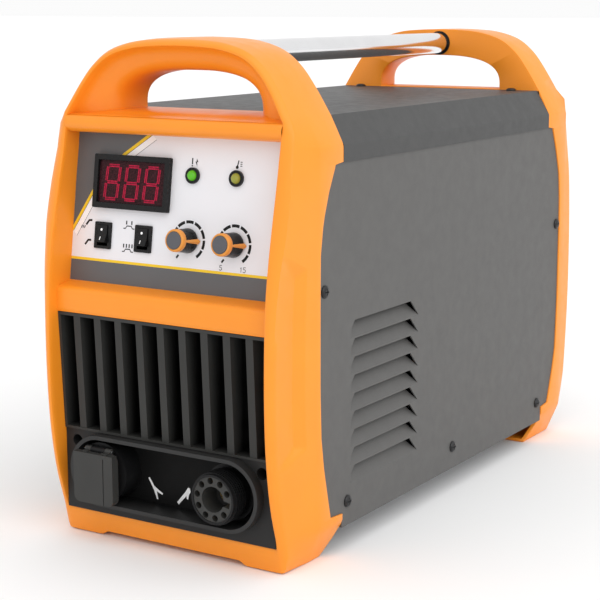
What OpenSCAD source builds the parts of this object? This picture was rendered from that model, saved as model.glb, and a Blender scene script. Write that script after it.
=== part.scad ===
// Plasma cutter power unit, in millimetres.
// X runs across the unit, Y from the front to the back, Z up. The feet stand on z = 0.

/* [Casing] */
// Width over the side walls
body_w = 240; // [236:1:246]
// Height of the flat top of the sheet cover
cover_z = 348; // [346:1:350]
// Height over the two handle arches
arch_z = 406; // [404:1:410]
// Sheet steel thickness
sheet = 1.2; // [0.8:0.1:1.5]
// Wall thickness of the two moulded end frames
wall = 3; // [2.5:0.1:3.5]

/* [Handle] */
// Outer diameter of the handle tube
tube_d = 20; // [18:0.5:22]
// Wall thickness of the handle tube
tube_wall = 1.5; // [1:0.1:2.5]
// Height of the tube's axis
tube_z = 392.5; // [392:0.5:393]

/* [Control panel] */
// How far the panel leans back, in degrees
panel_tilt = 8; // [7.5:0.1:8.5]
// Diameter of the two control knobs
knob_d = 17; // [15:0.5:18]
// How far a knob stands out from the panel
knob_len = 20; // [17:0.5:22]

/* [Ventilation] */
// Number of upright fins in the front grille
grille_fins = 9; // [7:1:10]
// Number of louvres in each side panel
louvres = 9; // [6:1:10]
// Side of the square fan housing
fan_size = 120; // [118:1:122]

/* [Connectors] */
// Thread diameter of the torch connector
torch_d = 42; // [40:0.5:43]
// Bore of the work clamp socket
work_bore = 13; // [12.6:0.1:13.4]

/* [Hidden] */
$fn = 64;

half_w = body_w / 2;
gap = 0.3;

// Places along Y
cover_front = -184;
cover_back = 204.5;

// The sheet casing
cover_edge_z = 325.7;
seam_z = 312.7;
cover_flat = 106.8;
panel_low_z = 21;
panel_x = half_w - sheet - 0.1;

// The handle hole through each arch
hole_half = 66;
hole_low = 349;
hole_high = 379.5;

// The dark bushes round the tube ends
bush_wall = 1.6;

// The front openings
open_half = 103;
control_low = 211;
control_high = 329;
grille_low = 21.2;
grille_high = 187.5;
mid_bar_y = -262;
insert_y = -255.2;
housing_high = 89;

// The control panel's plane, at the height of its middle
panel_y = -241.5;
panel_z = 235;
lamp_z = 301.5;
lamp_x = [13.5, 54.5];
knob_x = [13, 56];
knob_z = 251;
rocker_x = [-71, -30.5];
rocker_z = 249;
meter_x = -44;
meter_z = 292.5;
meter_size = [74, 43];
meter_opening = [66, 34];

// The connectors
torch_at = [54.3, 56.8];
work_at = [-62, 58];
ring_z = 59.2;
ring_r = 29.5;
ring_half = 92;
ring_front = -264;
torch_face = -270;
pocket_y = -240;

// The rear panel's pieces
rear_y = 254;
fan_z = 130;
mains_at = [-58, 268];
gas_at = [58, 268];
gland_at = [-78, 48];
earth_at = [84, 44];

screw_side = [[-210, 216], [231, 216], [-175, 41], [10, 41], [194, 41]];
housing_screw = [90.8, 79.5];
screw_cover = [[-84, -174], [84, -174], [-84, 194], [84, 194]];

// A smooth curve through the points, with this many steps between each two
function curve(p, steps = 5) =
    let (last = len(p) - 1)
    [for (i = [0 : last - 1]) for (k = [0 : steps - (i == last - 1 ? 0 : 1)])
        let (
            a = p[max(i - 1, 0)],
            b = p[i],
            c = p[i + 1],
            d = p[min(i + 2, last)],
            t = k / steps
        )
        (2 * b + (c - a) * t + (2 * a - 5 * b + 4 * c - d) * t * t
            + (3 * b - a - 3 * c + d) * t * t * t) / 2];

// The same points in the other order
function reversed(p) = [for (i = [len(p) - 1 : -1 : 0]) p[i]];

// An outline drawn from its right half
function both_sides(p) = concat(p, [for (q = reversed(p)) [-q[0], q[1]]]);

// Side view curves, as [y, z]
function front_curve() = curve([
    [-250.7, 0], [-258.5, 32], [-268, 72], [-272.5, 130], [-271.5, 190],
    [-265.5, 244], [-255, 292], [-245.5, 338], [-241, 370], [-236, arch_z]], 3);
function rear_curve() = curve([
    [240, 0], [254, 12], [263, 40], [268.5, 78], [272.5, 135], [272.5, 196],
    [269, 250], [263, 292], [256, 340], [249, 372], [245, arch_z]], 3);
function front_seam() = concat(
    [[cover_front, seam_z], [-195.5, seam_z - 1]],
    curve([[-196.5, 309], [-205, 292], [-213, 270], [-217, 245], [-217.4, 210],
        [-217.4, 140], [-216, 102], [-212, 76], [-202, 34]], 3));
function rear_seam() = concat(
    [[cover_back, seam_z], [216, seam_z - 1]],
    curve([[217, 309], [226, 289], [234, 266], [237, 240], [237.7, 205],
        [237.7, 140], [235.5, 90], [230, 68], [219, 36]], 3));

// Front view outline of both end frames, right half, as [x, z]
function frame_half(low) = concat(
    [[0, low], [66, low], [72, 0], [half_w - 12, 0], [half_w, 28], [half_w, cover_edge_z]],
    curve([[half_w - 0.3, cover_edge_z + 1], [cover_flat + 2, cover_z], [94, 370],
        [82, 384.5], [66, 396.5], [44, 403], [0, arch_z]], 4));

// The same outline drawn in by the wall thickness
function frame_half_in() = [
    [0, wall + 4], [half_w - 14, wall + 4], [half_w - wall, 30],
    [half_w - wall, cover_edge_z - 2], [cover_flat, hole_low - 4 - wall], [0, hole_low - 4 - wall]];

// Moves a drawing from the XY plane to the XZ plane, and the extrusion from low to high along Y
module along_y(low, high) {
    translate([0, high, 0]) rotate([90, 0, 0]) linear_extrude(high - low) children();
}

// Moves a drawing of [y, z] to the YZ plane, and the extrusion to both sides of x = 0
module across_x(half) {
    rotate([90, 0, 90]) translate([0, 0, -half]) linear_extrude(2 * half) children();
}

// A rod along Y
module rod_y(r, low, high, at) {
    translate([at[0], high, at[1]]) rotate([90, 0, 0]) cylinder(r = r, h = high - low);
}

// A box given by its lowest and highest corners
module block(low, high) {
    translate(low) cube(high - low);
}

// A rectangle with round corners about the origin
module round_rect(size, r) {
    for (x = [-1, 1]) for (y = [-1, 1])
        translate([x * (size[0] / 2 - r), y * (size[1] / 2 - r)]) circle(r);
    square([size[0], size[1] - 2 * r], center = true);
    square([size[0] - 2 * r, size[1]], center = true);
}

// A stadium about the origin
module stadium(half, r) {
    square([2 * (half - r), 2 * r], center = true);
    for (x = [-1, 1]) translate([x * (half - r), 0]) circle(r);
}

// Puts its children on the leaning panel: x across, z up the panel, -y out of it
module on_panel(x = 0, z = panel_z) {
    translate([0, panel_y, panel_z]) rotate([-panel_tilt, 0, 0]) translate([x, 0, z - panel_z]) children();
}

// A round tube swept along points
function unit(v) = v / norm(v);
function tangent(p, i) = unit(p[min(i + 1, len(p) - 1)] - p[max(i - 1, 0)]);
module sweep(path, r, sides = 10) {
    n = len(path);
    rings = [for (i = [0 : n - 1])
        let (
            t = tangent(path, i),
            side = unit(cross(t, abs(t[2]) > 0.9 ? [1, 0, 0] : [0, 0, 1])),
            up = cross(side, t)
        )
        for (k = [0 : sides - 1])
            path[i] + r * (cos(k * 360 / sides) * side + sin(k * 360 / sides) * up)];
    skin = [for (i = [0 : n - 2]) for (k = [0 : sides - 1])
        let (a = i * sides + k, b = i * sides + (k + 1) % sides)
        [b, b + sides, a + sides, a]];
    ends = [[for (k = [sides - 1 : -1 : 0]) k], [for (k = [0 : sides - 1]) (n - 1) * sides + k]];
    polyhedron(rings, concat(skin, ends));
}

// ---- End frames ----

module arch_hole_outline() {
    polygon(both_sides(concat(
        [[0, hole_low], [hole_half - 3, hole_low]],
        curve([[hole_half, 357], [61, 366], [50, 373], [30, 378], [0, hole_high]], 3))));
}

// The dished hand hole through an arch: a straight throat and a flare towards the outside
module hand_hole(inner_y, outer_y, throat_y) {
    along_y(min(inner_y, outer_y), max(inner_y, outer_y)) arch_hole_outline();
    hull() {
        along_y(throat_y - 0.1, throat_y + 0.1) arch_hole_outline();
        along_y(outer_y - 0.1, outer_y + 0.1) polygon(both_sides(concat(
            [[0, hole_low - 7], [101, hole_low - 7], [92, 366], [83, 376]],
            [[72, 384.5], [48, 394.7], [26, 398], [0, 399]])));
    }
}

module end_frame(seam, outer, plan, side, low) {
    // side is -1 for the front frame and 1 for the rear one
    inner_y = side < 0 ? cover_front : cover_back;
    foot_y = side < 0 ? -200 : 189;
    cut_y = side * 400;
    difference() {
        intersection() {
            across_x(half_w + 1)
                polygon(concat(
                    outer,
                    [[inner_y, arch_z]],
                    seam,
                    [[inner_y, 33], [inner_y, 21], [foot_y, 0]]));
            along_y(min(0, cut_y), max(0, cut_y)) polygon(both_sides(frame_half(low)));
            linear_extrude(arch_z + 1) polygon(plan);
        }
        intersection() {
            across_x(half_w)
                polygon([for (p = concat(outer, [[inner_y, arch_z], [0, arch_z], [0, 0]]))
                    [p[0] - (abs(p[0]) > 225 ? side * wall : 0), p[1]]]);
            along_y(min(0, cut_y), max(0, cut_y)) polygon(both_sides(frame_half_in()));
            linear_extrude(arch_z)
                polygon([for (p = plan) [p[0] - sign(p[0]) * wall, p[1] - sign(p[1]) * 0.1]]);
        }
    }
}

// Plan view of an end frame, drawn in towards its end
function frame_corner(side) = side < 0
    ? [[half_w, 0], [half_w, -217], [half_w - 7.5, -258], [half_w - 9.5, -269], [half_w - 14, -273]]
    : [[half_w, 0], [half_w, 245], [half_w - 2, 266], [half_w - 7.5, 273]];
function frame_plan(side) = both_sides(frame_corner(side));

// The tongue of an end frame that the side panels screw to
module frame_tongues(side) {
    x = panel_x - sheet - gap;
    for (s = [-1, 1])
        intersection() {
            across_x(half_w)
                shift_in(side) polygon(concat(side < 0 ? front_seam() : rear_seam(),
                    [[side * 256, 34], [side * 256, 309]]));
            block([min(s * x, s * (x - wall)), min(side * 150, side * 242), 34],
                [max(s * x, s * (x - wall)), max(side * 150, side * 242), 309]);
        }
}

// Moves a side view drawing towards the middle of the unit
module shift_in(side) {
    translate([-side * 14, 0]) children();
}

module front_frame() color("#f5a03c") {
    difference() {
        union() {
            end_frame(front_seam(), front_curve(), frame_plan(-1), -1, 3.5);
            intersection() {
                union() {
                    // Walls round the control recess and the grille opening
                    difference() {
                        block([-open_half - 5, -300, control_low - 24], [open_half + 5, -226, control_high + 24]);
                        on_panel() block([-150, 0, -60], [150, 90, 130]);
                    }
                    block([-open_half - 5, -300, grille_low - 4], [open_half + 5, insert_y + 4, grille_high + 4]);
                }
                across_x(half_w) polygon(concat(front_curve(), [[-200, arch_z], [-200, 0]]));
                linear_extrude(345) polygon(frame_plan(-1));
            }
            frame_tongues(-1);
        }
        // Control recess
        block([-open_half, -300, control_low], [open_half, -200, control_high]);
        // The face of the bar below the panel is set back from the rim
        block([-open_half, -300, grille_low], [open_half, mid_bar_y, control_high]);
        // Grille opening
        block([-open_half, -300, grille_low], [open_half, -200, grille_high]);
        hand_hole(cover_front + 1, -246, -215);
        handle_socket();
        side_screw_holes(5.1);
    }
}

module rear_frame() color("#f5a03c") {
    difference() {
        union() {
            end_frame(rear_seam(), rear_curve(), frame_plan(1), 1, 3.5);
            frame_tongues(1);
        }
        // Opening for the rear panel
        along_y(rear_y - 2, 300) translate([0, 175]) round_rect([2 * open_half, 303], 12);
        along_y(200, 300) translate([0, 175]) round_rect([2 * open_half - 12, 291], 8);
        hand_hole(cover_back - 1, 250, 228);
        handle_socket();
        side_screw_holes(5.1);
    }
}

module handle_socket() {
    rod_y(tube_d / 2 + bush_wall, cover_front - 12, cover_back + 12, [0, tube_z]);
}

// The holes for the screws in both side panels
module side_screw_holes(d) {
    for (s = [-1, 1]) for (at = screw_side)
        translate([s * panel_x, at[0], at[1]]) rotate([0, 90, 0]) cylinder(d = d, h = 20, center = true);
}

// ---- Handle ----

module handle_tube() color("#c3c5c8") {
    difference() {
        rod_y(tube_d / 2, cover_front - 8, cover_back + 8, [0, tube_z]);
        rod_y(tube_d / 2 - tube_wall, cover_front - 9, cover_back + 9, [0, tube_z]);
    }
}

module handle_bushes() color("#2c2c2e") {
    for (y = [cover_front - 12, cover_back - 1])
        difference() {
            rod_y(tube_d / 2 + bush_wall, y, y + 13, [0, tube_z]);
            rod_y(tube_d / 2, y - 1, y + 14, [0, tube_z]);
        }
}

// ---- Sheet casing ----

function cover_section(inset) = both_sides([
    [0, cover_z - inset], [cover_flat - inset * 0.5, cover_z - inset],
    [half_w - inset, cover_edge_z - inset * 0.3], [half_w - inset, seam_z - inset]]);

module top_cover() color("#5f5f5f") {
    difference() {
        along_y(cover_front + gap, cover_back - gap) difference() {
            polygon(cover_section(0));
            polygon(cover_section(sheet));
        }
        for (at = screw_cover)
            translate([at[0], at[1], cover_z - 5]) cylinder(d = 5.4, h = 10);
    }
}

module side_outline() {
    polygon(concat(
        [for (p = front_seam()) p + [gap, 0]],
        [[-184 + gap, 33], [-184 + gap, panel_low_z], [cover_back - gap, panel_low_z], [cover_back - gap, 35]],
        [for (p = reversed(rear_seam())) p - [gap, 0]]));
}

louvre_pitch = 14.8;
louvre_top = 186.6;
louvre_drop = 13.6;
louvre_depth = 8;

module side_panel(s) {
    mirror([s < 0 ? 1 : 0, 0, 0]) {
        difference() {
            union() {
                translate([panel_x - sheet, 0, 0]) rotate([90, 0, 90]) linear_extrude(sheet) side_outline();
                // Flange turned in along the bottom edge
                block([panel_x - 10, -183, panel_low_z], [panel_x, 202, panel_low_z + sheet]);
            }
            for (i = [0 : louvres - 1])
                louvre_prism(louvre_top - i * louvre_pitch, panel_x - sheet - 1, 0);
            side_screw_holes(5.4);
        }
        for (i = [0 : louvres - 1])
            louvre_tongue(louvre_top - i * louvre_pitch);
    }
}

// The outline of a louvre, extruded outwards from x; its tongue is drawn in by inset at the ends
module louvre_prism(z, x, inset) {
    translate([x, 0, 0]) rotate([90, 0, 90]) linear_extrude(20)
        polygon([[-164 + inset, z], [-169 + inset, z - 6], [-170 + inset, z - louvre_drop],
            [-57.5 - inset, z - louvre_drop], [-71 - inset, z]]);
}

// The sheet under each slit is pressed inwards, deepest at the slit and flush at its lower edge
module louvre_tongue(z) {
    low = z - louvre_drop;
    intersection() {
        translate([panel_x, 0, 0]) rotate([90, 0, 0]) linear_extrude(500, center = true)
            polygon([[0, low - 0.8], [0, low], [-louvre_depth, low + 12.8], [-louvre_depth - 1, low + 12],
                [-sheet, low - 0.8]]);
        union() {
            louvre_prism(z, panel_x - 10, 0.1);
            translate([panel_x - 10, -169.8, low - 1]) cube([20, 112.2, 1.2]);
        }
    }
}

module left_side_panel() color("#706f6d") side_panel(-1);
module right_side_panel() color("#706f6d") side_panel(1);

module base_plate() color("#8c8e90") {
    x = panel_x - sheet - gap;
    low = panel_low_z + sheet + 0.4;
    difference() {
        union() {
            block([-x, -180, low], [x, 200, low + 30]);
            block([-x + 10, -205, low], [x - 10, 225, low + 1.5]);
        }
        block([-x + 1.5, -206, low + 1.5], [x - 1.5, 226, low + 31]);
        side_screw_holes(5.1);
    }
}

module rear_panel() color("#2f2f31") {
    difference() {
        along_y(rear_y - 2, rear_y) difference() {
            translate([0, 175]) round_rect([2 * open_half - 1, 302], 11);
            translate([0, fan_z]) circle(fan_size / 2 - 4);
            translate(gland_at) circle(9.2);
            translate(earth_at) circle(4.2);
            translate(gas_at) circle(6.2);
            translate(mains_at) circle(9);
        }
        for (x = [-1, 1]) for (z = [-1, 1])
            rod_y(2.2, rear_y - 5, rear_y + 5, [x * 52.5, fan_z + z * 52.5]);
    }
}

// ---- Screws ----

// A pan head screw along +Z, with its head at the top and a cross recess
module pan_screw(d, len) {
    difference() {
        union() {
            rotate_extrude() polygon([[0, 0], [d, 0], [d, 0.8], [d * 0.8, 1.9], [d * 0.45, 2.5], [0, 2.6]]);
            translate([0, 0, -len]) cylinder(d = d, h = len + 0.1);
        }
        for (a = [0, 90]) rotate(a) translate([-d * 0.6, -0.4, 1.3]) cube([d * 1.2, 0.8, 2]);
    }
}

module side_screws() color("#202022") {
    for (s = [-1, 1]) for (at = screw_side)
        translate([s * panel_x, at[0], at[1]]) rotate([0, s * 90, 0]) pan_screw(5, 6);
}

module cover_screws() color("#202022") {
    for (at = screw_cover) translate([at[0], at[1], cover_z]) pan_screw(5, 6);
}

module housing_screws() color("#202022") {
    for (s = [-1, 1])
        translate([s * housing_screw[0], insert_y + 12, housing_screw[1]]) rotate([90, 0, 0]) pan_screw(4, 16);
}

// ---- Control panel ----

module panel_cutouts() {
    translate([meter_x, meter_z - panel_z]) square(meter_size - [4, 4], center = true);
    for (x = rocker_x) translate([x, rocker_z - panel_z]) square([13.4, 19.4], center = true);
    for (x = lamp_x) translate([x, lamp_z - panel_z]) circle(4.6);
    for (x = knob_x) translate([x, knob_z - panel_z]) circle(3.6);
}

function panel_low() = control_low - panel_z - 4;
function panel_high() = control_high - panel_z + 5;

module panel_plate() color("#9a9c9e") {
    on_panel() along_y(0.6, 2.1) difference() {
        translate([-open_half - 4, panel_low()]) square([2 * open_half + 8, panel_high() - panel_low()]);
        panel_cutouts();
    }
}

module panel_overlay() color("#e6e6ea") {
    on_panel() along_y(0, 0.6) difference() {
        translate([-open_half - 4, panel_low()]) square([2 * open_half + 8, panel_high() - panel_low()]);
        panel_cutouts();
    }
}

module meter_bezel() color("#19191b") {
    on_panel(meter_x, meter_z) difference() {
        union() {
            along_y(-5, 0) round_rect(meter_size, 1.2);
            along_y(-0.5, 9) square(meter_size - [4.6, 4.6], center = true);
        }
        along_y(-6, -1.2) square(meter_opening, center = true);
        along_y(-2, 10) square(meter_size - [14, 14], center = true);
    }
}

module meter_window() color("#5a1518") {
    on_panel(meter_x, meter_z) along_y(-2.6, -1.3) square(meter_opening - [0.4, 0.4], center = true);
}

module meter_module() color("#c03030") {
    on_panel(meter_x, meter_z) {
        for (i = [-1, 0, 1]) translate([i * 19, 0, 0]) along_y(0.5, 7.5) square([17, 26], center = true);
        along_y(7.5, 9) square(meter_size - [15, 15], center = true);
    }
}

module lamp_bezels() color("#19191b") {
    for (x = lamp_x) on_panel(x, lamp_z) difference() {
        union() {
            rod_y(6.3, -2.2, 0, [0, 0]);
            rod_y(4.4, -0.5, 9, [0, 0]);
        }
        rod_y(2.8, -3, 10, [0, 0]);
        rod_y(4.4, -3, -1, [0, 0]);
    }
}

// A domed indicator lens with its collar
module lamp_lens(x) {
    on_panel(x, lamp_z) {
        rotate([90, 0, 0]) translate([0, 0, 1.1]) intersection() {
            sphere(4.2);
            cylinder(r = 5, h = 6);
        }
        rod_y(2.7, -1.2, 7, [0, 0]);
    }
}

module ready_lamp() color("#4fc02a") lamp_lens(lamp_x[0]);
module fault_lamp() color("#b8b040") lamp_lens(lamp_x[1]);

// How far a rocker tips each way from its middle, in degrees
rocker_tip = 12;

module switch_housings() color("#222224") {
    for (x = rocker_x) on_panel(x, rocker_z) difference() {
        union() {
            along_y(-1.6, 0) round_rect([16.5, 21.5], 1);
            along_y(-0.2, 14) square([13, 19], center = true);
            for (z = [-6, 0, 6]) block([-2.4, 13.9, z - 0.4], [2.4, 21, z + 0.4]);
        }
        block([-5.3, -3, -8.4], [5.3, 11, 8.4]);
        translate([-6.3, 2.5, 0]) rotate([0, 90, 0]) cylinder(r = 1.55, h = 12.6);
    }
}

// The rocker turns about the stubs at its sides, and rests with its lower end out
module switch_rocker(x) {
    on_panel(x, rocker_z) translate([0, 2.5, 0]) rotate([-rocker_tip, 0, 0]) {
        translate([-6.2, 0, 0]) rotate([0, 90, 0]) cylinder(r = 1.5, h = 12.4);
        translate([-4.9, 0, 0]) rotate([90, 0, 90]) linear_extrude(9.8)
            polygon([[2.2, -2.8], [-3, -6.8], [-6.4, -7], [-5.2, 0], [-6.4, 7], [-3, 6.8], [2.2, 2.8]]);
    }
}

module gas_test_rocker() color("#2a2a2c") switch_rocker(rocker_x[0]);
module mode_rocker() color("#2a2a2c") switch_rocker(rocker_x[1]);

// A control knob with its pointer rib
module knob(x) {
    on_panel(x, knob_z) difference() {
        union() {
            rod_y(knob_d / 2, -knob_len + 1, -1, [0, 0]);
            rod_y(knob_d / 2 + 1.6, -5, -1, [0, 0]);
            rod_y(knob_d / 2 - 1, -knob_len, -2, [0, 0]);
            block([knob_d / 2 - 3, -knob_len + 1, -1.6], [knob_d / 2 + 4, -1, 1.6]);
        }
        rod_y(3.05, -14, 0, [0, 0]);
    }
}

module current_knob() color("#f0963a") knob(knob_x[0]);
module post_gas_knob() color("#f0963a") knob(knob_x[1]);

// The potentiometer shaft that a knob is pressed on
module knob_shaft(x) {
    on_panel(x, knob_z) rod_y(3.05, -14, 4.4, [0, 0]);
}

module current_shaft() color("#b9bbbe") knob_shaft(knob_x[0]);
module post_gas_shaft() color("#b9bbbe") knob_shaft(knob_x[1]);

module potentiometers() color("#8f9193") {
    for (x = knob_x) on_panel(x, knob_z) difference() {
        union() {
            rod_y(3.5, -0.4, 6, [0, 0]);
            rod_y(8.5, 5, 15, [0, 0]);
            rotate([90, 0, 0]) translate([0, 0, 0.1]) cylinder(d = 11, h = 0.3, $fn = 6);
            for (s = [-1, 0, 1]) block([s * 5 - 0.6, 9, -14], [s * 5 + 0.6, 10, -6]);
        }
        rod_y(3.1, -1, 4.5, [0, 0]);
    }
}

module control_board() color("#1f6b3a") {
    on_panel() {
        block([-96, 24, -20], [96, 25.6, 88]);
        for (x = [-88, 88]) for (z = [-12, 80])
            rod_y(3, 2.1, 24, [x, z]);
        block([-20, 25.6, 30], [10, 29, 60]);
        block([30, 25.6, -8], [70, 36, 6]);
    }
}

// ---- Grille and connector housing ----

grille_back = -222;

// Side view of the grille, whose front leans forward towards the top
module grille_side(set_back) {
    low = housing_high + 0.3;
    high = grille_high - 0.3;
    polygon([[set_back - 256.5, low], [set_back - 261.5, high], [grille_back, high], [grille_back, low]]);
}

module front_grille() color("#3b3b3b") {
    low = housing_high + 0.3;
    high = grille_high - 0.3;
    half = open_half - 0.3;
    pitch = 20.9;
    difference() {
        across_x(half) grille_side(0);
        block([-half + 2.5, -270, low + 2], [half - 2.5, grille_back + 1, high - 2.5]);
    }
    // Upright fins
    intersection() {
        across_x(half) grille_side(0.5);
        for (i = [0 : grille_fins - 1])
            translate([(i - (grille_fins - 1) / 2) * pitch, 0, low + 1])
                linear_extrude(high - low - 2)
                    polygon([[-3.3, -270], [3.3, -270], [3.3, -248], [1.3, grille_back], [-1.3, grille_back],
                        [-3.3, -248]]);
    }
    // Cross bars deep in the grille
    for (z = [106, 139])
        block([-half + 1, grille_back - 9, z], [half - 1, grille_back, z + 2]);
}

module connector_housing() color("#343434") {
    low = grille_low + 0.3;
    half = open_half - 0.3;
    difference() {
        union() {
            block([-half, insert_y, low], [half, pocket_y + 3, housing_high]);
            // Raised rim round the pocket
            along_y(ring_front, insert_y + 1) translate([0, ring_z]) stadium(ring_half, ring_r);
        }
        // Pocket that holds both connectors
        along_y(-300, pocket_y) translate([0, ring_z]) stadium(ring_half - 3.2, ring_r - 3.2);
        // Hollow back
        difference() {
            block([-half + 3, insert_y + 3, low + 3], [half - 3, pocket_y + 4, housing_high - 3]);
            along_y(-300, pocket_y + 3) translate([0, ring_z]) stadium(ring_half, ring_r);
            for (s = [-1, 1]) rod_y(8, -300, 0, [s * housing_screw[0], housing_screw[1]]);
        }
        rod_y(torch_d / 2 + 0.3, -300, -200, torch_at);
        rod_y(15.3, -300, -200, work_at);
        for (s = [-1, 1]) {
            rod_y(4.9, -300, insert_y + 12, [s * housing_screw[0], housing_screw[1]]);
            rod_y(2.2, -300, -200, [s * housing_screw[0], housing_screw[1]]);
        }
    }
}

// ---- Work clamp socket ----

hinge_z = 77;
hinge_y = -263;
cap_back = -264.4;
ear_x = [work_at[0] - 13, work_at[0] + 7.3];

module work_socket() color("#29292b") {
    difference() {
        union() {
            rod_y(24.4, -259.5, pocket_y, work_at);
            rod_y(15, pocket_y - 1, -222, work_at);
            // Hinge lug on the front of the body
            block([work_at[0] - 7, hinge_y - 2.5, 70], [work_at[0] + 7, -259, hinge_z]);
            block([work_at[0] - 7, hinge_y, 70], [work_at[0] + 7, -259, hinge_z + 2.5]);
            translate([work_at[0] - 7, hinge_y, hinge_z]) rotate([0, 90, 0]) cylinder(r = 2.5, h = 14);
        }
        rod_y(11.2, -270, -242, work_at);
        rod_y(8.05, -243, -215, work_at);
        hinge_bore(1.55);
    }
}

module hinge_bore(r) {
    translate([work_at[0] - 30, hinge_y, hinge_z]) rotate([0, 90, 0]) cylinder(r = r, h = 60);
}

module work_contact() color("#c9a24a") {
    difference() {
        union() {
            rod_y(9.5, -257, -242, work_at);
            rod_y(8, -242, -205, work_at);
        }
        rod_y(work_bore / 2, -258, -212, work_at);
    }
}

module work_cover() color("#4b4b49") {
    difference() {
        union() {
            // Cap with its front face and its side walls
            along_y(-272, cap_back) translate([work_at[0], 55]) round_rect([40, 42], 6);
            block([work_at[0] - 20, -272, 70], [work_at[0] + 20, -266, 76]);
            // Two hinge ears, one each side of the lug
            for (x = ear_x) {
                block([x, -270, 72], [x + 5.7, hinge_y, hinge_z]);
                translate([x, hinge_y, hinge_z]) rotate([0, 90, 0]) cylinder(r = 2.6, h = 5.7);
            }
        }
        along_y(-270, -262) translate([work_at[0], 54]) square([36, 35], center = true);
        // Room for the lug
        block([work_at[0] - 7.3, -267, 68], [work_at[0] + 7.3, -259, 82]);
        hinge_bore(1.5);
        // Groove down the front face
        block([work_at[0] + 10, -273, 30], [work_at[0] + 11, -271.4, 73]);
    }
}

module work_hinge_pin() color("#d0d2d4") {
    translate([work_at[0] - 14, hinge_y, hinge_z]) rotate([0, 90, 0]) cylinder(r = 1.5, h = 28);
}

// ---- Torch connector ----

module torch_connector() color("#3d3d3f") {
    r = torch_d / 2;
    difference() {
        union() {
            rod_y(r - 1.2, torch_face, -215, torch_at);
            for (y = [torch_face + 3 : 2.5 : torch_face + 17])
                rod_y(r, y, y + 1.25, torch_at);
            rod_y(r + 2, pocket_y - 6, pocket_y, torch_at);
        }
        rod_y(r - 3, torch_face - 1, -214, torch_at);
    }
}

torch_keys = 10;
torch_ring_r = 14.8;

module torch_insert() color("#454547") {
    difference() {
        rod_y(torch_d / 2 - 3, torch_face + 0.6, -222, torch_at);
        rod_y(10.3, torch_face - 1, -250, torch_at);
        rod_y(5.25, torch_face - 1, -215, torch_at);
        for (i = [1 : torch_keys - 1])
            rod_y(2.65, torch_face - 1, -221, pin_at(i));
        translate([torch_at[0], 0, torch_at[1]]) rotate([0, 10, 0])
            block([8, torch_face - 1, -2.4], [16, -252, 2.4]);
    }
}

function pin_at(i) =
    torch_at + torch_ring_r * [cos(i * 360 / torch_keys - 10), sin(i * 360 / torch_keys - 10)];

module torch_pins() color("#c9a24a") {
    for (i = [1 : torch_keys - 1]) difference() {
        rod_y(2.6, -262, -224, pin_at(i));
        rod_y(1.2, -263, -245, pin_at(i));
    }
    difference() {
        union() {
            rod_y(5.2, -252, -205, torch_at);
            rod_y(14, -222, -218, torch_at);
        }
        rod_y(3, -253, -204, torch_at);
    }
}

module torch_nut() color("#3d3d3f") {
    difference() {
        translate([torch_at[0], -229, torch_at[1]]) rotate([90, 0, 0]) cylinder(d = 52, h = 7.8, $fn = 6);
        rod_y(torch_d / 2 - 1.15, -240, -220, torch_at);
    }
}

// ---- Rear panel's pieces ----

module fan_housing() color("#1d1d1f") {
    half = fan_size / 2;
    difference() {
        along_y(rear_y - 40, rear_y - 2) difference() {
            translate([0, fan_z]) round_rect([fan_size, fan_size], 6);
            translate([0, fan_z]) circle(half - 4);
            for (x = [-1, 1]) for (z = [-1, 1])
                translate([x * 52.5, fan_z + z * 52.5]) circle(2.2);
        }
        difference() {
            along_y(rear_y - 35, rear_y - 7) translate([0, fan_z]) square(fan_size + 2, center = true);
            rod_y(half - 1.5, rear_y - 40, rear_y, [0, fan_z]);
        }
    }
    // Motor mount and its four arms
    rod_y(20, rear_y - 40, rear_y - 36, [0, fan_z]);
    for (a = [45 : 90 : 315])
        translate([0, 0, fan_z]) rotate([0, a, 0])
            block([15, rear_y - 40, -2.5], [half - 3, rear_y - 37, 2.5]);
    rod_y(4, rear_y - 37, rear_y - 20, [0, fan_z]);
}

module fan_rotor() color("#2a2a2c") {
    blades = 7;
    difference() {
        union() {
            rod_y(22, rear_y - 33, rear_y - 6, [0, fan_z]);
            for (i = [0 : blades - 1])
                translate([0, rear_y - 19, fan_z]) rotate([0, i * 360 / blades, 0])
                    rotate([35, 0, 0]) block([20, -1, -13], [52, 1, 13]);
        }
        rod_y(18, rear_y - 34, rear_y - 12, [0, fan_z]);
        rod_y(4.05, rear_y - 34, rear_y - 18, [0, fan_z]);
        rod_y(90, rear_y - 5.5, rear_y + 30, [0, fan_z]);
    }
    difference() {
        rod_y(8, rear_y - 33, rear_y - 11, [0, fan_z]);
        rod_y(4.05, rear_y - 34, rear_y - 18, [0, fan_z]);
    }
}

module wire_ring(r, y) {
    translate([0, y, fan_z]) rotate([90, 0, 0]) rotate_extrude() translate([r, 0]) circle(1.1, $fn = 20);
}

module fan_guard() color("#b9bbbe") {
    y = rear_y + 3;
    for (r = [12 : 11 : 56]) wire_ring(r, y);
    for (a = [0 : 90 : 270])
        translate([0, y + 1.8, fan_z]) rotate([0, a + 45, 0])
            rotate([0, 90, 0]) translate([0, 0, 9]) cylinder(r = 1.1, h = 63);
    for (x = [-1, 1]) for (z = [-1, 1])
        difference() {
            rod_y(5, rear_y + 0.1, rear_y + 4.8, [x * 52.5, fan_z + z * 52.5]);
            rod_y(2.2, rear_y - 2, rear_y + 6, [x * 52.5, fan_z + z * 52.5]);
        }
}

module mains_switch() color("#27272a") {
    translate([mains_at[0], 0, mains_at[1]]) difference() {
        union() {
            along_y(rear_y - 40, rear_y - 2.1) square(42, center = true);
            along_y(rear_y, rear_y + 3) round_rect([48, 48], 3);
            rod_y(8.7, rear_y - 3, rear_y + 1, [0, 0]);
        }
        rod_y(4.05, rear_y - 30, rear_y + 4, [0, 0]);
    }
}

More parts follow.
